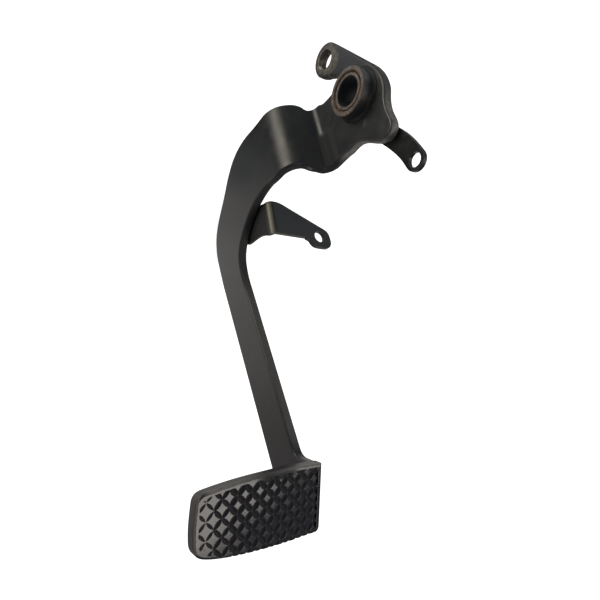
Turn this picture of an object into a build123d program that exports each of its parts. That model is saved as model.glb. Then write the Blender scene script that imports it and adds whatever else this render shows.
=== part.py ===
from build123d import *
import math
import os

os.makedirs("parts", exist_ok=True)

# Rear brake pedal, right-hand side, millimetres.
# Frame: X along the pivot axis (+X inboard), -Y forwards to the pad, +Z up (the tread faces up).
# The origin is the middle of the pivot bore.

# ---- driving dimensions -------------------------------------------------
STEEL = 5.0              # thickness of the arm
BOSS_OD = 23.0           # pivot tube
BOSS_ID = 17.2
BOSS_LEN = 17.0
BOSS_PROUD = 6.5         # how far the tube stands out of the plate, outboard
MOUTH_D = 19.3           # wide end of the lead-in at each end of the tube
MOUTH_DEPTH = 1.3
FOOT = 1.7               # leg of the weld fillet at the foot of the tube
BORE = 14.0              # bush bore
BUSH_RECESS = 0.35       # bush end below the tube end
JOGGLE = 20.0            # plate to bar, along X
JOGGLE_RUN = 10.92       # the same step, along the blank
BEND_A = 4.5             # inside radius of the bend at the plate
BEND_B = 9.0             # inside radius of the wide bend at the neck
EDGE = 1.2               # rounding of the arm's edges
PAD_EDGE_R = 1.0         # rounding of the pad's rim
ROD_HOLE = 9.5           # hole in the ear
EAR = (26.1, 26.9)       # ear centre
EAR_R = 8.9
BAR_W = 21.05
BAR_LEAN = 34.0          # bar against the pad, degrees
PAD_T = 6.0              # pad, tread tops to back
PAD_TOP = 4.8            # height of the tread over the pivot axis
PAD_L = 59.5
TREAD_LX = 6.75          # tread diamonds, along the pad
TREAD_LY = 7.3           # tread diamonds, across the pad
TREAD_TURN = 2.0         # tread against the pad, degrees
LEAF_L = 6.8             # leaf-shaped grooves between the diamonds: they run into each other
LEAF_W = 2.7
LEAF_D = 1.35
LEAF_WORN = (0.68, 0.36) # how much shallower they are at the worn outboard end, two steps
SHEET = 2.0              # sheet of the two tabs
TAB_HOLE = 6.5
TAB_R = 5.15

X_PLATE = -BOSS_LEN / 2 + BOSS_PROUD      # outboard face of the plate
X_BAR = X_PLATE - JOGGLE                  # outboard face of the bar


def side(x):
    """Plane across the pivot axis: local x points down (-Z), local y points back (+Y)."""
    return Plane(origin=(x, 0, 0), x_dir=(0, 0, -1), z_dir=(1, 0, 0))


# direction across the two bends (U) and along them (V), in the side plane
U = Vector(0.903, -0.43).normalized()
V = Vector(-0.43, -0.903).normalized()
U1 = 29.06                                 # where the first bend lies along U


def uv(u, v):
    return (U.X * u + V.X * v, U.Y * u + V.Y * v)


theta = math.atan2(JOGGLE, JOGGLE_RUN)
t1 = BEND_A * math.tan(theta / 2)          # tangent lengths of the bends, outboard face
t2 = (BEND_B + STEEL) * math.tan(theta / 2)
web_len = math.hypot(JOGGLE, JOGGLE_RUN) - t1 - t2
u_t1 = U1 - t1
u_t4 = U1 + JOGGLE_RUN + t2


# blank edges at the two bends, along V
B1_HI, B1_LO = -17.7, 20.5
B2_HI, B2_LO = -22.9, 15.8

# ---- plate round the pivot, with the ear ---------------------------------
ear_top = Vector(0.803, 0.595).normalized()
e_up = (EAR[0] - ear_top.Y * EAR_R, EAR[1] + ear_top.X * EAR_R)
e_low_dir = Vector(0.93, 0.367).normalized()
e_lo = (EAR[0] + e_low_dir.Y * EAR_R, EAR[1] - e_low_dir.X * EAR_R)
e_tip = (EAR[0] + EAR_R * math.cos(math.radians(30)), EAR[1] + EAR_R * math.sin(math.radians(30)))
top_end = (e_up[0] - ear_top.X * 36.0, e_up[1] - ear_top.Y * 36.0)
p_hi = uv(u_t1, B1_HI)
p_lo = uv(u_t1, B1_LO)

plate_line = (
    Spline(
        p_hi, (28.0, 4.5), (24.6, 5.2), (20.6, 6.85), (16.6, 9.1), (14.5, 11.0),
        (14.5, 13.0), (16.6, 14.8), (20.6, 16.25), (25.0, 17.35), e_lo,
        tangents=[(-U.X, -U.Y), (e_low_dir.X, e_low_dir.Y)],
    )
    + ThreePointArc(e_lo, e_tip, e_up)
    + Line(e_up, top_end)
    + Spline(
        top_end, (-12.6, 8.6), (-16.3, 3.4), (-18.1, -1.6), (-18.4, -6.4), (-19.4, -10.6),
        (-21.2, -14.4), (-23.3, -18.2), (-23.6, -21.8), (-21.3, -24.9), (-17.2, -26.0),
        (-11.0, -25.1), (-4.6, -23.3), (0.0, -23.5), (4.6, -25.6), p_lo,
        tangents=[(-ear_top.X, -ear_top.Y), (U.X, U.Y)],
    )
    + Line(p_lo, p_hi)
)
plate = extrude(side(X_PLATE) * make_face(plate_line), STEEL)

# ---- the joggle: bend, web, bend -----------------------------------------
prof = Plane(origin=(0, 0, 0), x_dir=(0, U.Y, -U.X), z_dir=(0, V.Y, -V.X))   # local: along U, along X
sn, cs = math.sin(theta), math.cos(theta)


def sector(centre, r_in, r_out, a0, a1):
    """Ring sector about centre between two directions (degrees)."""
    def at(r, a):
        return (centre[0] + r * math.cos(math.radians(a)), centre[1] + r * math.sin(math.radians(a)))
    am = (a0 + a1) / 2
    line = (
        Line(at(r_in, a0), at(r_out, a0))
        + ThreePointArc(at(r_out, a0), at(r_out, am), at(r_out, a1))
        + Line(at(r_out, a1), at(r_in, a1))
        + ThreePointArc(at(r_in, a1), at(r_in, am), at(r_in, a0))
    )
    return make_face(line)


th = math.degrees(theta)
c1 = (u_t1, X_PLATE - BEND_A)
bend_a = extrude(prof.offset(B1_HI) * sector(c1, BEND_A, BEND_A + STEEL, 90, 90 - th), B1_LO - B1_HI)
c2 = (u_t4, X_BAR + BEND_B + STEEL)
bend_b = extrude(prof.offset(B2_HI) * sector(c2, BEND_B, BEND_B + STEEL, 270, 270 - th), B2_LO - B2_HI)

w0 = (c1[0] + BEND_A * sn, c1[1] + BEND_A * cs)            # start of the web, outboard face
w0_3d = (w0[1], U.Y * w0[0], -U.X * w0[0])
du3 = (-sn, U.Y * cs, -U.X * cs)
nb3 = (cs, U.Y * sn, -U.X * sn)
web_plane = Plane(origin=w0_3d, x_dir=du3, z_dir=nb3)         # local y runs against V
web_line = (
    Spline(
        (0, -B1_HI), (2.9, 19.8), (7.1, 22.4), (web_len, -B2_HI),
        tangents=[(1, 0), (1, 0)],
    )
    + Line((web_len, -B2_HI), (web_len, -B2_LO))
    + Spline(
        (web_len, -B2_LO), (7.7, -17.6), (3.5, -19.4), (0, -B1_LO),
        tangents=[(-1, 0), (-1, 0)],
    )
    + Line((0, -B1_LO), (0, -B1_HI))
)
web = extrude(web_plane * make_face(web_line), STEEL)

# ---- neck and bar ---------------------------------------------------------
lean = math.radians(BAR_LEAN)
bar_d = Vector(-math.sin(lean), -math.cos(lean))
bar_n = Vector(math.cos(lean), -math.sin(lean))
OUT_OFF = 123.15
IN_OFF = OUT_OFF - BAR_W


def on_bar(off, b):
    """Point of a bar edge (offset off across the bar) at height b of the side plane."""
    along = (b - bar_n.Y * off) / bar_d.Y
    return (bar_n.X * off + bar_d.X * along, b)


q_hi = uv(u_t4, B2_HI)
q_lo = uv(u_t4, B2_LO)
out_a = on_bar(OUT_OFF, -92.0)
out_b = on_bar(OUT_OFF, -181.0)
in_a = on_bar(IN_OFF, -92.0)
PAD_EDGE = -169.0                           # rear edge of the pad at the arm
PAD_FRONT = -198.6
FLARE_R = 7.0
# centre of the flare between the bar's inner edge and the pad's rear edge
fl_b = PAD_EDGE + FLARE_R
fl_c = on_bar(IN_OFF - FLARE_R, fl_b)
fl_0 = (fl_c[0] + bar_n.X * FLARE_R, fl_c[1] + bar_n.Y * FLARE_R)
fl_1 = (fl_c[0], PAD_EDGE)
mid_dir = (Vector(bar_n.X, bar_n.Y) + Vector(0, -1)).normalized()
fl_m = (fl_c[0] + mid_dir.X * FLARE_R, fl_c[1] + mid_dir.Y * FLARE_R)
pad_in = -PAD_TOP + 2.6                     # the arm ends inside the pad

arm_line = (
    Line(q_lo, q_hi)
    + Spline(
        q_hi, (63.6, -4.25), (70.4, -6.75), (76.2, -9.8), (80.8, -13.4),
        (84.5, -17.7), (87.6, -23.0), (90.0, -28.6), (92.0, -34.6), (94.5, -41.2),
        (97.1, -47.6), (99.2, -54.0), (100.1, -60.4), (99.4, -66.8), (97.4, -73.0),
        (93.8, -79.8), out_a,
        tangents=[(U.X, U.Y), (bar_d.X, bar_d.Y)],
    )
    + Line(out_a, out_b)
    + Spline(
        out_b, (20.6, -189.0), (13.6, -194.4), (6.0, -196.6), (pad_in, -196.9),
        tangents=[(bar_d.X, bar_d.Y), (-1, 0)],
    )
    + Line((pad_in, -196.9), (pad_in, PAD_EDGE))
    + Line((pad_in, PAD_EDGE), fl_1)
    + ThreePointArc(fl_1, fl_m, fl_0)
    + Line(fl_0, in_a)
    + Spline(
        in_a, (65.2, -85.8), (68.2, -79.7), (69.8, -74.5), (69.8, -69.4), (67.9, -62.7),
        (63.9, -54.9), (58.4, -47.6), (52.1, -42.1), (44.9, -37.9), q_lo,
        tangents=[(-bar_d.X, -bar_d.Y), (-U.X, -U.Y)],
    )
)
arm = extrude(side(X_BAR) * make_face(arm_line), STEEL)

strip = (plate + bend_a + web + bend_b + arm).solids()[0]


def sharp_edges(solid):
    """Edges where two faces meet at a clear angle."""
    met = {}
    for f in solid.faces():
        for e in f.edges():
            met.setdefault(e, []).append(f)
    found = []
    for e, fs in met.items():
        if len(fs) == 2:
            p = e.position_at(0.5)
            if fs[0].normal_at(p).get_angle(fs[1].normal_at(p)) > 40:
                found.append(e)
    return found


inside_pad = lambda e: e.center().Y < -168 and e.length < 40 and e.center().Z > -6
strip = strip.fillet(EDGE, [e for e in sharp_edges(strip) if not inside_pad(e)])

# ---- tread pad ------------------------------------------------------------
PX1 = X_BAR + STEEL                         # inboard end, flush with the bar's back
PX0 = PX1 - PAD_L
pad_line = (
    Line((PX1, PAD_FRONT + 2.5), (PX1, PAD_EDGE))
    + Line((PX1, PAD_EDGE), (PX1 - 12.0, PAD_EDGE))
    + Spline(
        (PX1 - 12.0, PAD_EDGE), (PX0 + 36.2, -169.65), (PX0 + 21.6, -170.9), (PX0 + 10.2, -172.4),
        (PX0 + 5.2, -173.25),
        tangents=[(-1, 0), (-0.985, -0.175)],
    )
    + Spline(
        (PX0 + 5.2, -173.25), (PX0 + 1.75, -174.7), (PX0 + 0.45, -178.0),
        tangents=[(-0.985, -0.175), (-0.08, -1)],
    )
    + Spline(
        (PX0 + 0.45, -178.0), (PX0, -185.5), (PX0 + 0.25, -192.5),
        tangents=[(-0.08, -1), (0.1, -1)],
    )
    + Spline(
        (PX0 + 0.25, -192.5), (PX0 + 1.6, -196.3), (PX0 + 5.4, -198.3),
        tangents=[(0.1, -1), (1, -0.25)],
    )
    + Spline(
        (PX0 + 5.4, -198.3), (PX0 + 13.0, -199.5), (PX0 + 28.0, -200.1), (PX1 - 14.0, -199.5),
        (PX1 - 2.5, PAD_FRONT),
        tangents=[(1, -0.25), (1, 0.06)],
    )
    + ThreePointArc(
        (PX1 - 2.5, PAD_FRONT), (PX1 - 0.72, PAD_FRONT + 0.78), (PX1, PAD_FRONT + 2.5)
    )
)
pad = extrude(Plane.XY.offset(PAD_TOP - PAD_T) * make_face(pad_line), PAD_T).solids()[0]
rim = [e for e in pad.edges() if abs(e.center().Z - PAD_TOP) < 1e-6 or abs(e.center().Z - PAD_TOP + PAD_T) < 1e-6]
pad = pad.fillet(PAD_EDGE_R, rim)

# tread: leaf-shaped grooves in two directions leave four-pointed diamonds; a plain rim stays on three sides
FIELD = [
    (PX0 + 2.2, -193.0), (PX0 + 2.1, -178.9), (PX0 + 3.5, -176.2), (PX0 + 6.3, -175.0),
    (PX0 + 12.0, -173.9), (PX0 + 21.6, -172.5), (PX0 + 36.2, -171.25), (PX1 - 12.0, -170.6),
    (PX1 - 2.0, -170.6), (PX1 - 2.0, -204.0), (PX0 + 10.5, -204.0), (PX0 + 9.0, -197.7),
    (PX0 + 4.6, -196.3),
]
field = extrude(Plane.XY.offset(PAD_TOP - 3.0) * make_face(Polyline(*FIELD, close=True)), 6.0)
TREAD_AT = (-55.15, -176.3)                 # middle of one diamond


def in_field(x, y):
    inside = False
    for (xa, ya), (xb, yb) in zip(FIELD, FIELD[1:] + FIELD[:1]):
        if (ya > y) != (yb > y) and x < (xb - xa) * (y - ya) / (yb - ya) + xa:
            inside = not inside
    return inside


# a leaf is where two upright cones meet: two arcs in plan, a V in section
leaf_r = ((LEAF_L / 2) ** 2 + (LEAF_W / 2) ** 2) / LEAF_W
leaf_c = leaf_r - LEAF_W / 2
leaf_k = (LEAF_W / 2) / LEAF_D


def leaf_cut(worn):
    low, high = LEAF_D + 0.2, worn + 0.06
    cone = Pos(0, 0, (high - low) / 2) * Cone(leaf_r - low * leaf_k, leaf_r + high * leaf_k, low + high)
    return ((Pos(0, leaf_c, 0) * cone) & (Pos(0, -leaf_c, 0) * cone)).solids()[0]


leaf_cuts = {worn: leaf_cut(worn) for worn in (0.0,) + LEAF_WORN}


def leaves():
    """One leaf in the middle of each side of each diamond."""
    turn = math.radians(TREAD_TURN)
    out = []
    for i in range(-26, 26):
        for j in range(-26, 26):
            px, py = (2 * i + 1) * TREAD_LX / 4, (2 * j + 1) * TREAD_LY / 4
            x = TREAD_AT[0] + px * math.cos(turn) - py * math.sin(turn)
            y = TREAD_AT[1] + px * math.sin(turn) + py * math.cos(turn)
            if not (PX0 - 4 < x < PX1 + 4 and -205 < y < -165):
                continue
            lean = math.atan2(TREAD_LY, -TREAD_LX if (i + j) % 2 == 0 else TREAD_LX) + turn
            worn = LEAF_WORN[0] if x < PX0 + 9 else LEAF_WORN[1] if x < PX0 + 14 else 0.0
            half = math.sqrt((leaf_r - worn * leaf_k) ** 2 - leaf_c ** 2)
            wide = LEAF_W / 2 - worn * leaf_k
            ring = []
            for k in range(12):
                s, w = half * math.cos(k * math.pi / 6), wide * math.sin(k * math.pi / 6)
                ring.append(in_field(
                    x + s * math.cos(lean) - w * math.sin(lean), y + s * math.sin(lean) + w * math.cos(lean)
                ))
            if not any(ring):
                continue
            leaf = Pos(x, y, PAD_TOP + worn) * Rot(0, 0, math.degrees(lean)) * leaf_cuts[worn]
            if not all(ring):
                leaf = leaf & field
                leaf = max(leaf.solids(), key=lambda d: d.volume)
                if leaf.volume < 1.0:
                    continue
            out.append(leaf)
    return out


pedal_arm = (strip + pad).solids()[0]
pedal_arm = (pedal_arm - leaves()).solids()[0]

# holes: the tube's seat and the rod hole
pedal_arm -= side(X_PLATE - 1) * extrude(Circle(BOSS_OD / 2), STEEL + 2)
rod = side(X_PLATE - 1) * Pos(*EAR) * extrude(Circle(ROD_HOLE / 2), STEEL + 2)
pedal_arm = (pedal_arm - rod).solids()[0]
rod_edges = [
    e for e in pedal_arm.edges()
    if e.geom_type == GeomType.CIRCLE and abs(e.radius - ROD_HOLE / 2) < 1e-6
]
pedal_arm = pedal_arm.chamfer(0.4, None, rod_edges)

# ---- pivot tube and bush ---------------------------------------------------
h = BOSS_LEN / 2
ro, ri, rm = BOSS_OD / 2, BOSS_ID / 2, MOUTH_D / 2
xa, xb = X_PLATE, X_PLATE + STEEL
k45 = FOOT * (1 - math.sqrt(0.5))
boss_line = (
    Polyline((-h + MOUTH_DEPTH, ri), (-h, rm), (-h, ro - 0.35), (-h + 0.35, ro), (xa - FOOT, ro))
    + ThreePointArc((xa - FOOT, ro), (xa - k45, ro + k45), (xa, ro + FOOT))
    + Polyline((xa, ro + FOOT), (xa, ro), (xb, ro), (xb, ro + FOOT))
    + ThreePointArc((xb, ro + FOOT), (xb + k45, ro + k45), (xb + FOOT, ro))
    + Polyline(
        (xb + FOOT, ro), (h - 0.35, ro), (h, ro - 0.35), (h, rm), (h - MOUTH_DEPTH, ri), (-h + MOUTH_DEPTH, ri)
    )
)
pivot_boss = revolve(make_face(boss_line), Axis.X)

hb = h - BUSH_RECESS
bb = BORE / 2
bush_line = Polyline(
    (-hb, bb + 0.3), (-hb, ri - 0.25), (-hb + 0.25, ri), (hb - 0.25, ri), (hb, ri - 0.25),
    (hb, bb + 0.3), (hb - 0.3, bb), (-hb + 0.3, bb), close=True,
)
pivot_bush = revolve(make_face(bush_line), Axis.X)

# ---- sheet tab on the back of the plate ------------------------------------
TAB_AT = (-33.1, -37.0)                     # its hole
tab_d = Vector(0.64, 0.768).normalized()    # along the tab at its hole
ta = (TAB_AT[0] + tab_d.Y * TAB_R, TAB_AT[1] - tab_d.X * TAB_R)
tb = (TAB_AT[0] - tab_d.Y * TAB_R, TAB_AT[1] + tab_d.X * TAB_R)
t_end = (TAB_AT[0] - tab_d.X * TAB_R, TAB_AT[1] - tab_d.Y * TAB_R)
# the inner end is rounded and lies behind the plate
tc, td = (-9.4, -22.9), (-15.0, -14.9)
t_in = (-8.2, -16.2)
tab_line = (
    ThreePointArc(tb, t_end, ta)
    + Spline(
        ta, (-25.8, -36.1), (-22.0, -32.3), (-16.9, -28.2), tc,
        tangents=[(tab_d.X, tab_d.Y), (0.82, 0.572)],
    )
    + ThreePointArc(tc, t_in, td)
    + Spline(
        td, (-21.4, -19.4), (-26.0, -22.6), (-30.2, -26.2), tb,
        tangents=[(-0.82, -0.572), (-tab_d.X, -tab_d.Y)],
    )
)
spring_tab = extrude(side(X_PLATE + STEEL) * make_face(tab_line), SHEET)
spring_tab -= side(X_PLATE + STEEL - 1) * Pos(*TAB_AT) * extrude(Circle(TAB_HOLE / 2), SHEET + 2)
spring_tab = spring_tab.solids()[0]
spring_tab = spring_tab.fillet(
    0.35, [e for e in spring_tab.edges() if abs(e.center().X - X_PLATE - STEEL - SHEET) < 1e-6]
)

# ---- bent sheet bracket on the back of the arm ------------------------------
BR_O = Vector(44.68, -62.05)                # foot of the bend line, on the bar's back face
BR_W = Vector(0.347, 0.938).normalized()    # along the bend
BR_M = Vector(0.938, -0.347).normalized()   # across the bend, towards the arm
BR_RO, BR_RI = 3.4, 1.4
x_bk = X_BAR + STEEL
br_o3 = (x_bk, BR_O.Y, -BR_O.X)
m3 = (0, BR_M.Y, -BR_M.X)
w3 = (0, BR_W.Y, -BR_W.X)
W_LO, W_HI = -0.1, 18.7
# flange on the arm, in (across, along) from the foot of the bend
fl_plane = Plane(origin=br_o3, x_dir=m3, z_dir=(1, 0, 0))
sg = 1 if Vector(*w3).dot(fl_plane.y_dir) > 0 else -1
flange_line = (
    Line((BR_RO, sg * W_LO), (BR_RO, sg * W_HI))
    + Spline(
        (BR_RO, sg * W_HI), (8.0, sg * 19.9), (15.0, sg * 20.9), (20.0, sg * 21.2),
        tangents=[(1, 0.15 * sg), (1, 0)],
    )
    + Spline(
        (20.0, sg * 21.2), (25.4, sg * 18.6), (27.8, sg * 12.4), (27.2, sg * 7.0), (24.0, sg * 4.5),
        tangents=[(1, 0), (-1, -0.1 * sg)],
    )
    + Spline(
        (24.0, sg * 4.5), (15.7, sg * 4.05), (9.6, sg * 2.6), (BR_RO, sg * W_LO),
        tangents=[(-1, -0.1 * sg), (-1, -0.25 * sg)],
    )
)
flange = extrude(fl_plane * make_face(flange_line), SHEET)
# the bend
bd_plane = Plane(origin=br_o3, x_dir=m3, z_dir=w3)
sx = 1 if bd_plane.y_dir.X > 0 else -1
bend = extrude(
    bd_plane.offset(W_LO) * sector((BR_RO, sx * BR_RO), BR_RI, BR_RO, 180, 180 + sx * 90), W_HI - W_LO
)
# arm of the bracket, in (inboard, along)
ar_plane = Plane(origin=br_o3, x_dir=(1, 0, 0), z_dir=m3)
sa = 1 if Vector(*w3).dot(ar_plane.y_dir) > 0 else -1
bracket_arm_line = (
    Line((BR_RO, sa * W_LO), (BR_RO, sa * W_HI))
    + Spline(
        (BR_RO, sa * W_HI), (7.0, sa * 18.5), (10.8, sa * 17.2), (15.0, sa * 15.35),
        tangents=[(1, 0), (1, -0.42 * sa)],
    )
    + Line((15.0, sa * 15.35), (35.0, sa * 6.95))
    + Spline(
        (35.0, sa * 6.95), (37.9, sa * 5.0), (39.0, sa * 1.2), (38.8, sa * -2.2), (37.0, sa * -4.45),
        (33.6, sa * -5.1), (29.6, sa * -5.1), (26.8, sa * -4.5), (25.1, sa * -2.9), (23.8, sa * -1.3),
        (22.0, sa * -0.45), (19.0, sa * W_LO),
        tangents=[(1, -0.42 * sa), (-1, 0)],
    )
    + Line((19.0, sa * W_LO), (BR_RO, sa * W_LO))
)
bracket_arm = extrude(ar_plane * make_face(bracket_arm_line), SHEET)
BR_HOLE = (31.3, 1.6)
bracket_arm -= ar_plane.offset(-1) * Pos(BR_HOLE[0], sa * BR_HOLE[1]) * extrude(Circle(TAB_HOLE / 2), SHEET + 2)
side_bracket = (flange + bend + bracket_arm).solids()[0]

# ---- write the pieces -------------------------------------------------------
pieces = {
    "pedal_arm": pedal_arm,
    "pivot_boss": pivot_boss,
    "pivot_bush": pivot_bush,
    "spring_tab": spring_tab,
    "side_bracket": side_bracket,
}
for name, shape in pieces.items():
    body = shape if isinstance(shape, Solid) else shape.solids()[0]
    print(name, body.is_valid, round(body.volume), body.bounding_box())
    export_step(body, f"parts/{name}.step")
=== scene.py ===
import math

import bmesh
import bpy
from mathutils import Matrix, Vector


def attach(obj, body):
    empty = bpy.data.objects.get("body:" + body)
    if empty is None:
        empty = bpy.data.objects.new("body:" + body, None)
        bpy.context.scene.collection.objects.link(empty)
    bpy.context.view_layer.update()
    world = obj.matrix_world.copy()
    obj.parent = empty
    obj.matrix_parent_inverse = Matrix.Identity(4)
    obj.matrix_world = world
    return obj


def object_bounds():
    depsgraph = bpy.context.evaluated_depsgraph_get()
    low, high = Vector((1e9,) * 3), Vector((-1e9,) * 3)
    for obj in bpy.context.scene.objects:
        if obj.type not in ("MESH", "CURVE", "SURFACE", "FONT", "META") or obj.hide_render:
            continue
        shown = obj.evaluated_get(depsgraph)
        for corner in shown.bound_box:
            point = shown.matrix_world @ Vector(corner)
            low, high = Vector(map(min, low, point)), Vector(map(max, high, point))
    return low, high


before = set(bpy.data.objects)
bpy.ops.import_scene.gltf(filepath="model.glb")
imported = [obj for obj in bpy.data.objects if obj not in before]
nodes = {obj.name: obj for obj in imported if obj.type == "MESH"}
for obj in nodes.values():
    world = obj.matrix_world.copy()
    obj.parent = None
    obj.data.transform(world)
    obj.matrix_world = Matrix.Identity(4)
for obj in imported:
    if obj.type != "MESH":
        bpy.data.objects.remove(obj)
cad_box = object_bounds()
scene = bpy.context.scene

MM = 0.001


# ---- camera ------------------------------------------------------------------
cam_data = bpy.data.cameras.new("camera")
cam_data.lens = 31.2
cam_data.sensor_width = 36.0
cam_data.sensor_fit = "HORIZONTAL"
cam_data.clip_start = 0.01
cam_data.clip_end = 20.0
camera = bpy.data.objects.new("camera", cam_data)
scene.collection.objects.link(camera)
right = Vector((0.809615, 0.045792, 0.585172))
up = Vector((-0.056469, 0.998404, 0.0))
back = Vector((-0.584238, -0.033044, 0.810909))
turn = Matrix((right, up, back)).transposed()
camera.matrix_world = Matrix.Translation(Vector((-161.542399, -105.821739, 183.095603)) * MM) @ turn.to_4x4()
scene.camera = camera

scene.view_settings.view_transform = "Standard"
scene.view_settings.look = "None"


# ---- node helpers ------------------------------------------------------------
class Tree:
    """Short names for building a shader node tree."""

    def __init__(self, tree):
        self.t = tree

    def node(self, kind, **props):
        n = self.t.nodes.new(kind)
        for k, v in props.items():
            setattr(n, k, v)
        return n

    def put(self, socket, value):
        if isinstance(value, bpy.types.NodeSocket):
            self.t.links.new(value, socket)
        elif value is not None:
            socket.default_value = value

    def math(self, op, a, b=None, clamp=False):
        n = self.node("ShaderNodeMath", operation=op, use_clamp=clamp)
        self.put(n.inputs[0], a)
        if b is not None:
            self.put(n.inputs[1], b)
        return n.outputs[0]

    def noise(self, co, scale, detail=3.0, rough=0.55, distort=0.0, out="Fac"):
        n = self.node("ShaderNodeTexNoise")
        self.put(n.inputs["Vector"], co)
        n.inputs["Scale"].default_value = scale
        n.inputs["Detail"].default_value = detail
        n.inputs["Roughness"].default_value = rough
        n.inputs["Distortion"].default_value = distort
        return n.outputs[out]

    def ramp(self, fac, stops, interp="LINEAR"):
        n = self.node("ShaderNodeValToRGB")
        n.color_ramp.interpolation = interp
        el = n.color_ramp.elements
        while len(el) < len(stops):
            el.new(0.5)
        for e, (pos, col) in zip(el, stops):
            e.position = pos
            e.color = col if len(col) == 4 else (*col, 1.0)
        self.put(n.inputs[0], fac)
        return n.outputs[0]

    def span(self, value, lo, hi, out_lo=0.0, out_hi=1.0, smooth=True):
        """Value between lo and hi, mapped to out_lo .. out_hi and held there outside."""
        n = self.node("ShaderNodeMapRange", interpolation_type="SMOOTHSTEP" if smooth else "LINEAR")
        self.put(n.inputs["Value"], value)
        n.inputs["From Min"].default_value = lo
        n.inputs["From Max"].default_value = hi
        n.inputs["To Min"].default_value = out_lo
        n.inputs["To Max"].default_value = out_hi
        return n.outputs["Result"]

    def mix(self, fac, a, b, blend="MIX"):
        n = self.node("ShaderNodeMix", data_type="RGBA", blend_type=blend)
        n.clamp_factor = True
        self.put(n.inputs[0], fac)
        for s, v in ((n.inputs[6], a), (n.inputs[7], b)):
            if isinstance(v, tuple) and len(v) == 3:
                v = (*v, 1.0)
            self.put(s, v)
        return n.outputs[2]

    def mixf(self, fac, a, b):
        n = self.node("ShaderNodeMix", data_type="FLOAT")
        self.put(n.inputs[0], fac)
        self.put(n.inputs[2], a)
        self.put(n.inputs[3], b)
        return n.outputs[0]

    def dist(self, co, point, flat=None):
        """Distance from a point, in metres; flat names an axis that is left out."""
        p = [c * MM for c in point]
        if flat is not None:
            m = self.node("ShaderNodeVectorMath", operation="MULTIPLY")
            self.put(m.inputs[0], co)
            m.inputs[1].default_value = [0.0 if a == flat else 1.0 for a in "xyz"]
            co = m.outputs[0]
            p = [0.0 if a == flat else c for a, c in zip("xyz", p)]
        n = self.node("ShaderNodeVectorMath", operation="DISTANCE")
        self.put(n.inputs[0], co)
        n.inputs[1].default_value = p
        return n.outputs["Value"]


def new_material(name):
    mat = bpy.data.materials.new(name)
    mat.use_nodes = True
    mat.node_tree.nodes.clear()
    t = Tree(mat.node_tree)
    bsdf = t.node("ShaderNodeBsdfPrincipled")
    out = t.node("ShaderNodeOutputMaterial")
    t.t.links.new(bsdf.outputs[0], out.inputs[0])
    co = t.node("ShaderNodeTexCoord").outputs["Object"]
    return mat, t, bsdf, co


def edge_mask(t, radius, lo, hi):
    """1 on convex and concave edges, 0 on plain faces: how far a rounded normal leans from the true one."""
    bev = t.node("ShaderNodeBevel", samples=6)
    bev.inputs["Radius"].default_value = radius
    geo = t.node("ShaderNodeNewGeometry")
    dot = t.node("ShaderNodeVectorMath", operation="DOT_PRODUCT")
    t.put(dot.inputs[0], bev.outputs[0])
    t.put(dot.inputs[1], geo.outputs["Normal"])
    return t.span(dot.outputs["Value"], hi, lo, 0.0, 1.0)


def hollow_mask(t, reach, lo, hi):
    """1 down in grooves and inside corners, 0 on open faces."""
    n = t.node("ShaderNodeAmbientOcclusion", samples=8)
    n.inputs["Distance"].default_value = reach
    return t.span(n.outputs["AO"], lo, hi, 1.0, 0.0)


def rounded_normal(t, radius, height, strength, distance):
    """Soft edges with a bump on top of them."""
    bev = t.node("ShaderNodeBevel", samples=6)
    bev.inputs["Radius"].default_value = radius
    bump = t.node("ShaderNodeBump")
    bump.inputs["Strength"].default_value = strength
    bump.inputs["Distance"].default_value = distance
    t.put(bump.inputs["Height"], height)
    t.put(bump.inputs["Normal"], bev.outputs[0])
    return bump.outputs[0]


# ---- satin black paint -------------------------------------------------------
def paint(name, soft_edge, dark=(0.0120, 0.0130, 0.0160), light=(0.0220, 0.0220, 0.0230), wear=0.35, dull=0.0,
          special=None, grit=0.22):
    mat, t, bsdf, co = new_material(name)
    broad = t.noise(co, 38.0, 3.0, 0.6)
    cloud = t.noise(co, 210.0, 4.0, 0.6, 0.3)
    grain = t.noise(co, 1900.0, 3.0, 0.6)
    peel = t.noise(co, 620.0, 2.0, 0.5)
    colour = t.mix(t.span(broad, 0.32, 0.68), dark, light)
    colour = t.mix(t.span(cloud, 0.45, 0.75, 0.0, 0.35), colour, (0.032, 0.031, 0.030))
    rough = t.span(cloud, 0.3, 0.7, 0.32 + dull, 0.40 + dull)
    rough = t.math("ADD", rough, t.span(broad, 0.3, 0.7, -0.03, 0.03))
    # darker and duller in grooves and inside corners: painted shade from an occlusion mask, together with dirt
    hollow_shade_and_dirt = hollow_mask(t, 1.8 * MM, 0.55, 0.93)
    colour = t.mix(t.math("MULTIPLY", hollow_shade_and_dirt, 0.85), colour, (0.0095, 0.0088, 0.0085))
    rough = t.mixf(hollow_shade_and_dirt, rough, 0.62)
    # rubbed edges, broken up by the noise
    edge = edge_mask(t, 0.9 * MM, 0.80, 0.985)
    edge = t.math("MULTIPLY", edge, t.span(t.noise(co, 420.0, 4.0, 0.65), 0.42, 0.66, 0.0, wear), clamp=True)
    edge = t.math("MULTIPLY", edge, t.math("SUBTRACT", 1.0, hollow_shade_and_dirt))
    colour = t.mix(edge, colour, (0.105, 0.094, 0.083))
    rough = t.mixf(edge, rough, 0.5)
    height = t.math("ADD", t.math("MULTIPLY", grain, 0.35), t.math("MULTIPLY", peel, 0.65))
    if special:
        colour, rough, height = special(t, co, colour, rough, height)
    t.put(bsdf.inputs["Base Color"], colour)
    t.put(bsdf.inputs["Roughness"], rough)
    t.put(bsdf.inputs["Normal"], rounded_normal(t, soft_edge, height, grit, 0.06 * MM))
    bsdf.inputs["IOR"].default_value = 1.5
    bsdf.inputs["Specular IOR Level"].default_value = 0.5
    return mat


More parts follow.
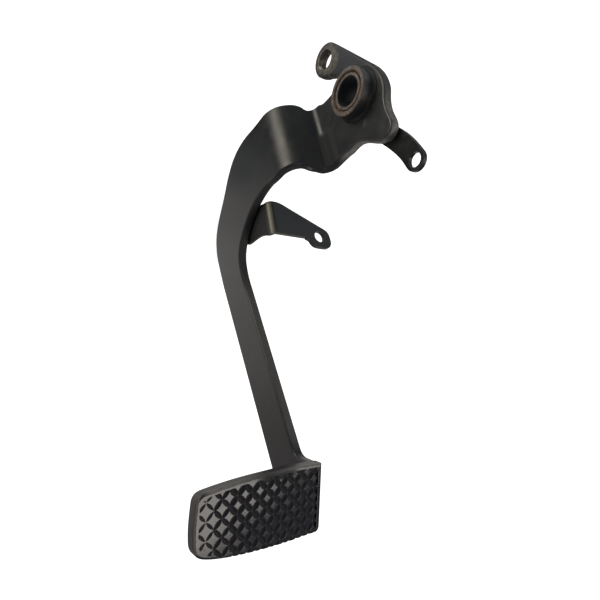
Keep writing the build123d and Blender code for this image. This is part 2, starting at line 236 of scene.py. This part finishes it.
def band(t, co, point, way, lo, hi):
    """0 before lo and 1 past hi, in millimetres along way from a point."""
    n = t.node("ShaderNodeVectorMath", operation="DOT_PRODUCT")
    t.put(n.inputs[0], co)
    n.inputs[1].default_value = way
    start = sum(a * b for a, b in zip(point, way))
    return t.span(n.outputs["Value"], (start + lo) * MM, (start + hi) * MM)


def arm_wear(t, co, colour, rough, height):
    sep = t.node("ShaderNodeSeparateXYZ")
    t.put(sep.inputs[0], co)
    x, y, z = sep.outputs
    # ear: paint rubbed to a dull olive-grey ring round the rod hole, broken towards its rim
    d = t.dist(co, (0, 26.9, -26.1), flat="x")
    wob = t.math("ADD", d, t.span(t.noise(co, 260.0, 4.0, 0.65), 0.3, 0.7, -1.5 * MM, 1.5 * MM))
    side = t.math("ADD", t.dist(co, (0, 25.2, -23.4), flat="x"), t.span(t.noise(co, 260.0, 4.0, 0.65), 0.3, 0.7, -1.2 * MM, 1.2 * MM))
    ring = t.math("MAXIMUM", t.span(wob, 8.4 * MM, 6.2 * MM), t.span(side, 8.6 * MM, 6.0 * MM))
    speck = t.span(t.noise(co, 900.0, 4.0, 0.7), 0.40, 0.62)
    ring_c = t.mix(speck, (0.060, 0.050, 0.038), (0.165, 0.143, 0.108))
    ring_f = t.math("MULTIPLY", ring, t.span(t.noise(co, 330.0, 3.0, 0.6), 0.28, 0.55, 0.25, 0.95))
    colour = t.mix(ring_f, colour, ring_c)
    rough = t.mixf(ring_f, rough, 0.52)
    # wall of the rod hole: brown, with a bright arc and spot at its lower rim where the paint is rubbed, both painted
    # brighter as highlights
    wall = t.span(d, 5.1 * MM, 4.95 * MM)
    wall_c = t.mix(t.span(t.noise(co, 480.0, 3.0, 0.6), 0.45, 0.62), (0.022, 0.013, 0.011), (0.085, 0.062, 0.045))
    colour = t.mix(wall, colour, wall_c)
    rim_glint_arc = t.math("MULTIPLY", t.span(t.math("ABSOLUTE", t.math("ADD", x, 0.7 * MM)), 0.55 * MM, 0.25 * MM), t.span(z, -26.5 * MM, -28.5 * MM))
    colour = t.mix(t.math("MULTIPLY", t.math("MULTIPLY", rim_glint_arc, wall), 0.85), colour, (0.230, 0.200, 0.155))
    # painted highlight: a near-white spot on the rubbed lower rim of the hole
    spot = t.math("MULTIPLY", t.span(d, 5.5 * MM, 5.25 * MM), t.span(t.dist(co, (-1.3, 24.2, -30.0)), 1.7 * MM, 0.9 * MM))
    colour = t.mix(spot, colour, (0.480, 0.455, 0.420))
    # lower wall of the ear: speckled, with dark chips towards the pivot
    look = t.node("ShaderNodeSeparateXYZ")
    t.put(look.inputs[0], t.node("ShaderNodeNewGeometry").outputs["Normal"])
    under = t.math("MULTIPLY", t.span(look.outputs[1], -0.15, -0.55), t.span(z, -12.5 * MM, -15.0 * MM))
    under = t.math("MULTIPLY", under, t.span(y, 10.0 * MM, 12.5 * MM))
    flecks = t.span(t.noise(co, 820.0, 4.0, 0.75), 0.44, 0.58)
    colour = t.mix(t.math("MULTIPLY", under, 0.9), colour, t.mix(flecks, (0.012, 0.010, 0.008), (0.115, 0.097, 0.074)))
    rough = t.mixf(under, rough, 0.6)
    # lower edge of the ear: chipped and speckled brown
    low = t.math("MULTIPLY", t.span(t.dist(co, (-1.5, 17.8, -27.0)), 9.0 * MM, 4.0 * MM),
                 t.span(t.noise(co, 700.0, 4.0, 0.7), 0.46, 0.60))
    low = t.math("MULTIPLY", low, edge_mask(t, 1.2 * MM, 0.86, 0.99))
    colour = t.mix(t.math("MULTIPLY", low, 0.75), colour, (0.120, 0.093, 0.069))
    # painted shade: the foot of the crease is painted darker and duller
    along = band(t, co, (-3.0, -9.4, -28.1), (0.0, -0.90, 0.434), 2.0, 6.0)
    near = t.math("MULTIPLY", band(t, co, (-3.0, -9.4, -28.1), (0.0, 0.434, 0.90), -7.0, -3.5),
                  t.math("SUBTRACT", 1.0, band(t, co, (-3.0, -9.4, -28.1), (0.0, 0.434, 0.90), 3.5, 9.0)))
    dull = t.math("MULTIPLY", along, near)
    dull = t.math("MULTIPLY", dull, t.span(x, -9.0 * MM, -6.0 * MM))
    dull = t.math("MULTIPLY", dull, t.span(x, 1.5 * MM, 0.0 * MM))
    colour = t.mix(dull, colour, (0.0070, 0.0075, 0.0100))
    rough = t.mixf(dull, rough, 0.80)
    # painted shade: the web darkens towards that foot
    shade = t.math("MULTIPLY", band(t, co, (-3.0, -9.4, -28.1), (0.0, -0.90, 0.434), -6.0, 12.0),
                   band(t, co, (-3.0, -9.4, -28.1), (0.0, 0.434, 0.90), -17.0, -4.0))
    shade = t.math("MULTIPLY", shade, t.span(x, -2.9 * MM, -4.0 * MM, 0.0, 0.75))
    shade = t.math("MULTIPLY", shade, t.span(x, -17.0 * MM, -13.0 * MM))
    colour = t.mix(shade, colour, (0.0060, 0.0066, 0.0088))
    rough = t.mixf(shade, rough, 0.55)
    # rim of the plate: dull, with its wall painted paler, more so towards lower y, as a painted reflection of light
    rim = t.math("MULTIPLY", t.span(x, -1.99 * MM, -1.60 * MM), t.span(z, -14.0 * MM, -6.0 * MM))
    rim = t.math("MULTIPLY", rim, t.span(y, -60.0 * MM, -50.0 * MM))
    rim = t.math("MULTIPLY", rim, t.span(x, 2.95 * MM, 2.6 * MM))
    rough = t.mixf(rim, rough, 0.62)
    wall = t.math("MULTIPLY", rim, t.span(x, -1.85 * MM, -1.2 * MM))
    wall = t.math("MULTIPLY", wall, t.span(t.noise(co, 420.0, 4.0, 0.65), 0.25, 0.65, 0.35, 1.0))
    colour = t.mix(wall, colour, t.mix(t.span(y, -3.0 * MM, -12.0 * MM), (0.088, 0.084, 0.079), (0.190, 0.182, 0.170)))
    # painted shade: the inside of the hook is painted darker, and dull
    face = t.node("ShaderNodeSeparateXYZ")
    t.put(face.inputs[0], t.node("ShaderNodeNewGeometry").outputs["Normal"])
    hook_shade = t.math("MULTIPLY", t.span(face.outputs[2], 0.12, 0.45), t.span(y, -98.0 * MM, -86.0 * MM))
    hook_shade = t.math("MULTIPLY", hook_shade, t.math("MULTIPLY", t.span(y, -40.0 * MM, -48.0 * MM), t.span(x, -12.0 * MM, -15.0 * MM)))
    colour = t.mix(hook_shade, colour, (0.0130, 0.0130, 0.0135))
    rough = t.mixf(hook_shade, rough, 0.80)
    # dust on the wall of the bar that looks up, together with painted light: that wall is painted paler
    dust_and_sheen = t.math("MULTIPLY", t.span(face.outputs[2], 0.55, 0.85), t.span(y, -80.0 * MM, -102.0 * MM))
    dust_and_sheen = t.math("MULTIPLY", dust_and_sheen, t.span(y, -169.0 * MM, -160.0 * MM))
    dust_and_sheen = t.math("MULTIPLY", dust_and_sheen, t.span(t.noise(co, 300.0, 4.0, 0.65), 0.25, 0.65, 0.7, 1.0))
    colour = t.mix(dust_and_sheen, colour, (0.064, 0.060, 0.058))
    rough = t.mixf(dust_and_sheen, rough, 0.55)
    # a chip on the lower edge of the web, painted bright as a glint on its bare metal, and fine scratches and a rust
    # smear on the plate below the pivot
    chip_glint = t.math("MULTIPLY", t.span(t.dist(co, (-9.8, -31.5, -24.6)), 1.9 * MM, 0.6 * MM),
                  t.span(t.noise(co, 900.0, 3.0, 0.6), 0.45, 0.55))
    colour = t.mix(t.math("MULTIPLY", chip_glint, 0.8), colour, (0.300, 0.290, 0.265))
    lay = t.node("ShaderNodeMapping")
    t.put(lay.inputs["Vector"], co)
    lay.inputs["Rotation"].default_value = (0.35, 0.0, 0.0)
    lay.inputs["Scale"].default_value = (1.0, 90.0, 1500.0)
    hair = t.span(t.noise(lay.outputs[0], 1.0, 2.0, 0.5), 0.635, 0.68)
    hair = t.math("MULTIPLY", hair, t.span(t.dist(co, (-2.0, -15.5, 5.0)), 8.0 * MM, 3.0 * MM))
    colour = t.mix(t.math("MULTIPLY", hair, 0.5), colour, (0.090, 0.086, 0.080))
    for at, most in ((5.7, 0.8), (7.0, 0.6)):
        cut = t.math("MULTIPLY", t.span(t.math("ABSOLUTE", t.math("SUBTRACT", z, at * MM)), 0.34 * MM, 0.16 * MM),
                     t.span(t.math("ABSOLUTE", t.math("ADD", y, 15.2 * MM)), 2.2 * MM, 1.2 * MM))
        cut = t.math("MULTIPLY", cut, t.math("MULTIPLY", t.span(x, -3.5 * MM, -3.0 * MM), t.span(x, -1.0 * MM, -1.5 * MM)))
        colour = t.mix(t.math("MULTIPLY", cut, most), colour, (0.120, 0.116, 0.110))
    smear = t.math("MULTIPLY", t.span(t.dist(co, (-2.0, -9.6, 10.0)), 4.0 * MM, 1.0 * MM),
                   t.span(t.noise(co, 420.0, 4.0, 0.65), 0.46, 0.62, 0.0, 0.6))
    colour = t.mix(smear, colour, (0.046, 0.026, 0.016))
    # rounded rear edge of the pad: dull and painted grey, a painted highlight along that edge together with rubbed
    # paint
    rear = t.ramp(t.span(x, -76.5 * MM, -17.0 * MM, 0.0, 1.0, smooth=False), [
        (0.0, (0.0,) * 3), (0.035, (0.11,) * 3), (0.059, (0.38,) * 3), (0.106, (0.50,) * 3), (0.202, (0.61,) * 3),
        (0.363, (0.75,) * 3), (0.608, (0.875,) * 3), (0.798, (0.94,) * 3), (1.0, (0.94,) * 3)])
    past = t.math("SUBTRACT", t.span(y, -180.0 * MM, -168.0 * MM, 0.0, 1.2, smooth=False), rear)
    rear_edge_sheen = t.math("MULTIPLY", t.span(past, -0.045, 0.005), t.span(z, 2.6 * MM, 4.0 * MM))
    rear_edge_sheen = t.math("MULTIPLY", rear_edge_sheen, t.span(x, -74.0 * MM, -70.0 * MM))
    rear_edge_sheen = t.math("MULTIPLY", rear_edge_sheen, t.span(y, -167.5 * MM, -168.5 * MM))
    rear_edge_sheen = t.math("MULTIPLY", rear_edge_sheen, t.span(t.noise(co, 520.0, 3.0, 0.6), 0.25, 0.55, 0.65, 1.0))
    # tread: faces polished by boots, dull along the middle of the rear border
    pad = t.span(y, -167.0 * MM, -168.0 * MM)
    colour = t.mix(t.math("MULTIPLY", pad, 0.45), colour, (0.0230, 0.0205, 0.0275))
    top = t.math("MULTIPLY", t.span(z, 4.70 * MM, 4.78 * MM), pad)
    border = t.math("MULTIPLY", t.span(past, -0.20, -0.14), t.span(x, -52.0 * MM, -45.0 * MM))
    border = t.math("MULTIPLY", border, t.span(x, -28.0 * MM, -34.0 * MM))
    polish = t.math("MULTIPLY", top, t.math("SUBTRACT", 1.0, border))
    rough = t.mixf(polish, rough, t.span(t.noise(co, 160.0, 3.0, 0.6), 0.35, 0.65, 0.09, 0.15))
    border = t.math("MULTIPLY", border, t.span(z, 4.45 * MM, 4.65 * MM))
    colour = t.mix(t.math("MULTIPLY", border, 0.8), colour, (0.0080, 0.0075, 0.0085))
    rough = t.mixf(border, rough, 0.80)
    rear_edge_sheen = t.math("MULTIPLY", rear_edge_sheen, t.math("SUBTRACT", 1.0, t.math("MULTIPLY", top, 0.8)))
    rear_edge_sheen = t.math("MULTIPLY", rear_edge_sheen, t.ramp(t.span(x, -76.5 * MM, -17.0 * MM, 0.0, 1.0, smooth=False), [
        (0.0, (1.0,) * 3), (0.25, (1.0,) * 3), (0.36, (0.70,) * 3), (0.53, (0.20,) * 3), (0.70, (0.50,) * 3), (0.82, (1.0,) * 3)]))
    # outer end of the pad: rubbed along its top edge, thin dusty paint on its wall
    outer = t.math("MULTIPLY", pad, t.span(face.outputs[0], -0.35, -0.75))
    outer = t.math("MULTIPLY", outer, t.span(x, -70.0 * MM, -72.5 * MM))
    colour = t.mix(outer, colour, (0.058, 0.053, 0.051))
    rub = t.math("MULTIPLY", t.math("MULTIPLY", pad, t.span(x, -74.2 * MM, -75.2 * MM)), t.span(z, 3.9 * MM, 4.35 * MM))
    rub = t.math("MULTIPLY", rub, t.math("SUBTRACT", 1.0, top))
    colour = t.mix(rub, colour, (0.165, 0.152, 0.138))
    rough = t.mixf(rub, rough, 0.45)
    height = t.math("MULTIPLY", height, t.math("SUBTRACT", 1.0, t.math("MULTIPLY", top, 0.75)))
    colour = t.mix(rear_edge_sheen, colour, (0.165, 0.158, 0.152))
    rough = t.mixf(rear_edge_sheen, rough, 0.50)
    return colour, rough, height


arm_mat = paint("arm_paint_worn", 0.35 * MM, special=arm_wear, grit=0.34)
tab_mat = paint("tab_paint_worn", 0.30 * MM, dark=(0.0085, 0.0085, 0.0092), light=(0.0150, 0.0145, 0.0145), wear=0.35,
                dull=-0.14)


def bracket_wear(t, co, colour, rough, height):
    # painted highlight: the outside of the bend is painted a bright beige band
    across = band(t, co, (-17.0, -62.05, -44.68), (0.0, -0.347, -0.938), 2.9, 1.6)
    sep = t.node("ShaderNodeSeparateXYZ")
    t.put(sep.inputs[0], co)
    bend_highlight = t.math("MULTIPLY", across, t.span(sep.outputs[0], -14.3 * MM, -15.8 * MM))
    bend_highlight = t.math("MULTIPLY", bend_highlight, t.span(t.noise(co, 360.0, 3.0, 0.6), 0.25, 0.5, 0.7, 1.0))
    colour = t.mix(bend_highlight, colour, (0.130, 0.116, 0.089))
    rough = t.mixf(bend_highlight, rough, 0.38)
    # painted shade: the flange behind the arm is painted dark and dull
    flange_shade = band(t, co, (-17.0, -62.05, -44.68), (0.0, -0.347, -0.938), 2.4, 4.5)
    colour = t.mix(t.math("MULTIPLY", flange_shade, 0.9), colour, (0.0040, 0.0040, 0.0046))
    rough = t.mixf(flange_shade, rough, 0.72)
    return colour, rough, height


bracket_mat = paint("bracket_paint_worn", 0.60 * MM, dark=(0.0125, 0.0138, 0.0145), light=(0.0225, 0.0230, 0.0235),
                    wear=0.5, special=bracket_wear)


# ---- pivot tube: paint outside, worn brown-grey steel on its end faces ----------
def boss_wear(t, co, colour, rough, height):
    sep = t.node("ShaderNodeSeparateXYZ")
    t.put(sep.inputs[0], co)
    x, y, z = sep.outputs
    ends = t.span(t.math("ABSOLUTE", x), 8.05 * MM, 8.3 * MM)
    r = t.dist(co, (0, 0, 0), flat="x")
    steel = t.mix(t.span(t.noise(co, 700.0, 4.0, 0.65), 0.35, 0.65), (0.078, 0.057, 0.047), (0.176, 0.146, 0.124))
    steel = t.mix(t.span(t.noise(co, 240.0, 3.0, 0.6), 0.42, 0.66, 0.0, 0.75), steel, (0.072, 0.034, 0.022))
    face = t.math("MULTIPLY", ends, t.span(t.noise(co, 300.0, 3.0, 0.6), 0.25, 0.5, 0.55, 1.0))
    colour = t.mix(face, colour, steel)
    rough = t.mixf(face, rough, 0.46)
    # rims of the end faces rubbed to a paler line
    line = t.math("MULTIPLY", edge_mask(t, 0.5 * MM, 0.80, 0.985), t.span(t.math("ABSOLUTE", x), 7.7 * MM, 7.9 * MM))
    line = t.math("MULTIPLY", line, t.span(t.noise(co, 350.0, 3.0, 0.6), 0.40, 0.62, 0.0, 0.7))
    colour = t.mix(line, colour, (0.215, 0.178, 0.150))
    # painted highlight: a cool sheen on the side of the tube, behind the outer end
    tube_highlight = t.math("MULTIPLY", t.span(t.dist(co, (-7.2, 6.0, 9.6)), 7.0 * MM, 1.5 * MM), t.span(r, 10.8 * MM, 11.3 * MM))
    tube_highlight = t.math("MULTIPLY", tube_highlight, t.math("SUBTRACT", 1.0, ends))
    colour = t.mix(tube_highlight, colour, (0.088, 0.094, 0.098))
    # painted shade: the foot is painted dull and dark
    foot_shade = t.span(r, 11.6 * MM, 12.4 * MM)
    colour = t.mix(t.math("MULTIPLY", foot_shade, 0.6), colour, (0.0072, 0.0070, 0.0068))
    rough = t.mixf(foot_shade, rough, 0.72)
    # old grease in the lead-in between tube and bush
    mouth = t.math("MULTIPLY", t.span(r, 9.75 * MM, 9.6 * MM), t.span(t.math("ABSOLUTE", x), 6.9 * MM, 7.1 * MM))
    grease = t.mix(t.span(t.noise(co, 500.0, 3.0, 0.6), 0.4, 0.65), (0.052, 0.030, 0.019), (0.120, 0.078, 0.052))
    colour = t.mix(mouth, colour, grease)
    rough = t.mixf(mouth, rough, 0.55)
    return colour, rough, height


boss_mat = paint("boss_paint_worn", 0.25 * MM, dark=(0.0100, 0.0100, 0.0110), light=(0.0180, 0.0172, 0.0165), wear=0.0,
                 dull=0.14, special=boss_wear)


def bush_material():
    mat, t, bsdf, co = new_material("bush_steel_worn")
    sep = t.node("ShaderNodeSeparateXYZ")
    t.put(sep.inputs[0], co)
    x, y, z = sep.outputs
    r = t.dist(co, (0, 0, 0), flat="x")
    fine = t.noise(co, 800.0, 4.0, 0.65)
    colour = t.mix(t.span(fine, 0.35, 0.65), (0.088, 0.066, 0.053), (0.185, 0.150, 0.126))
    # the bore is dark with grease; part of its wall is painted darker still as painted shade
    bore = t.span(r, 7.32 * MM, 7.18 * MM)
    grease_and_shade = t.mix(t.span(t.noise(co, 260.0, 3.0, 0.6), 0.4, 0.7), (0.042, 0.044, 0.045), (0.060, 0.057, 0.053))
    # painted shade: the bore wall towards higher z and lower y is painted near black
    grease_and_shade = t.mix(t.math("MULTIPLY", t.span(z, -2.0 * MM, 4.0 * MM), t.span(y, 3.0 * MM, -2.0 * MM)), grease_and_shade, (0.011, 0.011, 0.011))
    colour = t.mix(bore, colour, grease_and_shade)
    t.put(bsdf.inputs["Base Color"], colour)
    t.put(bsdf.inputs["Roughness"], t.mixf(bore, t.span(fine, 0.3, 0.7, 0.38, 0.52), 0.85))
    t.put(bsdf.inputs["Metallic"], t.math("MULTIPLY", t.math("SUBTRACT", 1.0, bore), 0.35))
    t.put(bsdf.inputs["Normal"], rounded_normal(t, 0.2 * MM, fine, 0.25, 0.05 * MM))
    return mat


bush_mat = bush_material()

for name, mat in (
    ("pedal_arm", arm_mat), ("pivot_boss", boss_mat), ("pivot_bush", bush_mat),
    ("spring_tab", tab_mat), ("side_bracket", bracket_mat),
):
    nodes[name].material_slots[0].material = mat


# ---- weld beads on the back ---------------------------------------------------
def smooth_path(points, step, closed=False):
    """Evenly spaced points along a NURBS curve through the neighbourhood of the given points, in metres."""
    cu = bpy.data.curves.new("path", "CURVE")
    cu.dimensions = "3D"
    cu.resolution_u = 24
    sp = cu.splines.new("NURBS")
    sp.points.add(len(points) - 1)
    for q, c in zip(sp.points, points):
        q.co = (*[v * MM for v in c], 1.0)
    sp.use_endpoint_u = not closed
    sp.use_cyclic_u = closed
    sp.order_u = 3
    ob = bpy.data.objects.new("path", cu)
    me = bpy.data.meshes.new_from_object(ob)
    raw = [v.co.copy() for v in me.vertices]
    bpy.data.objects.remove(ob)
    bpy.data.curves.remove(cu)
    bpy.data.meshes.remove(me)
    if closed:
        raw.append(raw[0].copy())
    at = [0.0]
    for a, b in zip(raw, raw[1:]):
        at.append(at[-1] + (b - a).length)
    n = max(8, int(at[-1] / (step * MM)))
    out, k = [], 0
    for i in range(n if closed else n + 1):
        d = at[-1] * i / n
        while k < len(at) - 2 and at[k + 1] < d:
            k += 1
        f = (d - at[k]) / max(at[k + 1] - at[k], 1e-12)
        out.append(raw[k].lerp(raw[k + 1], min(max(f, 0.0), 1.0)))
    return out, at[-1]


def weld_bead(name, points, radius, pitch, mat, closed=False, sides=14):
    """Rippled bead along a path on a face that looks along X; the ripples bow back like cooled pools."""
    path, length = smooth_path(points, 0.16, closed)
    n = len(path)
    bm = bmesh.new()
    rings = []
    for i, c in enumerate(path):
        a = path[(i - 1) % n] if closed or i > 0 else c
        b = path[(i + 1) % n] if closed or i < n - 1 else c
        tang = (b - a).normalized()
        outw = Vector((1.0, 0.0, 0.0))
        sidew = outw.cross(tang).normalized()
        s_mm = length / MM * i / (n if closed else n - 1)
        turns = max(1, round(length / MM / pitch))
        end = 1.0 if closed else min(1.0, math.sqrt(max(0.0, min(s_mm, length / MM - s_mm)) / (radius * 0.9) + 0.02))
        ring = []
        for j in range(sides):
            ang = 2 * math.pi * j / sides
            lag = 0.55 * radius * (1.0 - abs(math.sin(ang)))
            ph = (s_mm + lag) * turns / (length / MM)
            cell = math.floor(ph)
            saw = abs(math.sin(math.pi * (ph - cell)))
            odd = 0.06 * math.sin(cell * 12.9898) + 0.03 * math.sin(s_mm * 1.7 + j)
            r = radius * end * (0.86 + 0.15 * saw ** 0.6 + odd)
            ring.append(bm.verts.new(c + (sidew * math.cos(ang) * 1.12 + outw * math.sin(ang)) * (r * MM)))
        rings.append(ring)
    for i in range(n if closed else n - 1):
        ra, rb = rings[i], rings[(i + 1) % n]
        for j in range(sides):
            bm.faces.new((ra[j], ra[(j + 1) % sides], rb[(j + 1) % sides], rb[j]))
    if not closed:
        bm.faces.new(list(reversed(rings[0])))
        bm.faces.new(rings[-1])
    bmesh.ops.recalc_face_normals(bm, faces=bm.faces)
    for f in bm.faces:
        f.smooth = len(f.verts) == 4
    me = bpy.data.meshes.new(name)
    bm.to_mesh(me)
    bm.free()
    ob = bpy.data.objects.new(name, me)
    scene.collection.objects.link(ob)
    me.materials.append(mat)
    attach(ob, "root")
    return ob


# round the inner end of the sheet tab, on the plate's back face
tab_path = [(-10.4, -23.4), (-8.2, -21.6), (-7.3, -18.6), (-8.6, -15.8), (-11.4, -14.1), (-14.6, -14.2), (-17.4, -16.0), (-19.6, -17.6)]
weld_bead("tab_weld", [(3.5, b, -a) for a, b in tab_path], 1.35, 1.25, tab_mat)
# round the end of the bracket's flange, on the back of the arm
fo, fm, fw = Vector((-17.0, -62.05, -44.68)), Vector((0.0, -0.347, -0.938)), Vector((0.0, 0.938, -0.347))
flange_path = [(15.5, 21.4), (20.6, 21.9), (25.4, 19.9), (28.1, 15.6), (28.6, 10.6), (27.2, 6.0)]
weld_bead("flange_weld", [tuple(fo + fm * m + fw * w + Vector((0.5, 0.0, 0.0))) for m, w in flange_path], 1.4, 1.3,
          bracket_mat)
# round the foot of the pivot tube, on the back
ring_r = 12.55
weld_bead("tube_weld", [(3.35, ring_r * math.cos(k * math.pi / 12), ring_r * math.sin(k * math.pi / 12)) for k in range(24)],
          1.3, 1.35, boss_mat, closed=True)


# ---- floor, world and lights ----------------------------------------------------
floor_z = cad_box[0][2] - 0.0002
bm = bmesh.new()
bmesh.ops.create_grid(bm, x_segments=4, y_segments=4, size=3.0)
floor_mesh = bpy.data.meshes.new("floor")
bm.to_mesh(floor_mesh)
bm.free()
floor = bpy.data.objects.new("floor", floor_mesh)
floor.location = (0.0, -0.08, floor_z)
scene.collection.objects.link(floor)

floor_mat = bpy.data.materials.new("floor_white")
floor_mat.use_nodes = True
floor_mat.node_tree.nodes.clear()
t = Tree(floor_mat.node_tree)
out = t.node("ShaderNodeOutputMaterial")
diff = t.node("ShaderNodeBsdfDiffuse")
diff.inputs["Color"].default_value = (0.80, 0.80, 0.80, 1.0)
white = t.node("ShaderNodeEmission")
white.inputs["Strength"].default_value = 0.86
add = t.node("ShaderNodeAddShader")
t.t.links.new(diff.outputs[0], add.inputs[0])
t.t.links.new(white.outputs[0], add.inputs[1])
# what the part sees of the floor: a warm pool of light along the bar, cooler and dimmer past the pivot
geo = t.node("ShaderNodeNewGeometry")
sep = t.node("ShaderNodeSeparateXYZ")
t.put(sep.inputs[0], geo.outputs["Position"])
px, py, pz = sep.outputs
along = t.span(py, -0.30, 0.30, 0.0, 1.0, smooth=False)
tone = t.ramp(along, [(at, tuple(k * c for c in col)) for at, k, col in (
    (0.05, 0.26, (1.0, 0.97, 0.95)),
    (0.19, 0.43, (1.0, 0.95, 0.91)),
    (0.29, 0.74, (1.0, 0.945, 0.90)),
    (0.375, 0.86, (1.0, 0.96, 0.93)),
    (0.435, 0.60, (1.0, 0.97, 0.94)),
    (0.475, 0.27, (0.93, 0.97, 1.0)),
    (0.535, 0.05, (0.80, 0.92, 1.0)),
    (0.585, 0.16, (0.88, 0.94, 1.0)),
    (0.66, 0.72, (0.92, 0.94, 1.0)),
    (0.90, 0.40, (0.95, 0.96, 1.0)),
)], "EASE")
glow = t.node("ShaderNodeEmission")
t.put(glow.inputs["Color"], tone)
far = t.span(t.math("ABSOLUTE", px), 0.10, 0.60, 1.0, 0.25)
# bright patch of floor in front of the side key
spot = t.span(t.dist(geo.outputs["Position"], (-200.0, 145.0, 0.0), flat="z"), 0.025, 0.090, 2.2, 0.0)
t.put(glow.inputs["Strength"], t.math("ADD", far, spot))
path = t.node("ShaderNodeLightPath")
pick = t.node("ShaderNodeMixShader")
t.t.links.new(path.outputs["Is Camera Ray"], pick.inputs[0])
t.t.links.new(glow.outputs[0], pick.inputs[1])
t.t.links.new(add.outputs[0], pick.inputs[2])
t.t.links.new(pick.outputs[0], out.inputs[0])
floor_mesh.materials.append(floor_mat)

world = bpy.data.worlds.new("studio")
scene.world = world
world.use_nodes = True
world.node_tree.nodes.clear()
t = Tree(world.node_tree)
bg = t.node("ShaderNodeBackground")
bg.inputs["Color"].default_value = (0.68, 0.84, 1.0, 1.0)
bg.inputs["Strength"].default_value = 0.13
wo = t.node("ShaderNodeOutputWorld")
t.t.links.new(bg.outputs[0], wo.inputs[0])


def softbox(name, at, aim, size, power, colour=(1.0, 1.0, 1.0), along=None):
    """Area light at a point in millimetres, facing aim; along turns its long side."""
    data = bpy.data.lights.new(name, "AREA")
    data.shape = "RECTANGLE"
    data.size, data.size_y = size[0] * MM, size[1] * MM
    data.energy = power
    data.color = colour
    ob = bpy.data.objects.new(name, data)
    scene.collection.objects.link(ob)
    z_ax = (Vector(at) - Vector(aim)).normalized()
    x_ax = Vector(along if along else (0.0, 0.0, 1.0))
    x_ax = (x_ax - z_ax * x_ax.dot(z_ax)).normalized()
    y_ax = z_ax.cross(x_ax)
    ob.matrix_world = Matrix.Translation(Vector(at) * MM) @ Matrix((x_ax, y_ax, z_ax)).transposed().to_4x4()
    ob.visible_camera = False
    return ob


# low side key standing on the floor: it draws the bright bands on the bends
softbox("key_side", (-236.0, 130.0, -33.0), (-139.0, 105.3, -33.0), (130.0, 230.0), 0.46, (1.0, 0.93, 0.78))
# weak cool fill past the pivot, for the bracket's face
softbox("fill_cool", (390.0, 440.0, 330.0), (0.0, -50.0, -40.0), (300.0, 300.0), 0.12, (0.86, 0.96, 1.0))
# overhead strip for the rounded rear edge of the pad
softbox("rear_box", (365.0, 25.0, 537.0), (-45.0, -171.0, 5.0), (200.0, 400.0), 0.30, (1.0, 0.97, 0.96), along=(1.0, 0.0, -0.77))
# overhead box: its edge lies across the tread
e1, e2 = Vector((402.0, -386.0, 600.0)), Vector((259.0, -484.0, 600.0))
run = (e2 - e1).normalized()
off = Vector((-run.y, run.x, 0.0))
if off.dot(Vector((206.0, -398.0, 600.0)) - e1) < 0:
    off = -off
size_x, size_y = 620.0, 330.0
mid = (e1 + e2) / 2 + off * (size_y / 2)
softbox("top_box", tuple(mid), (mid.x, mid.y, 0.0), (size_x, size_y), 3.1, (1.0, 0.93, 0.86), along=tuple(run))
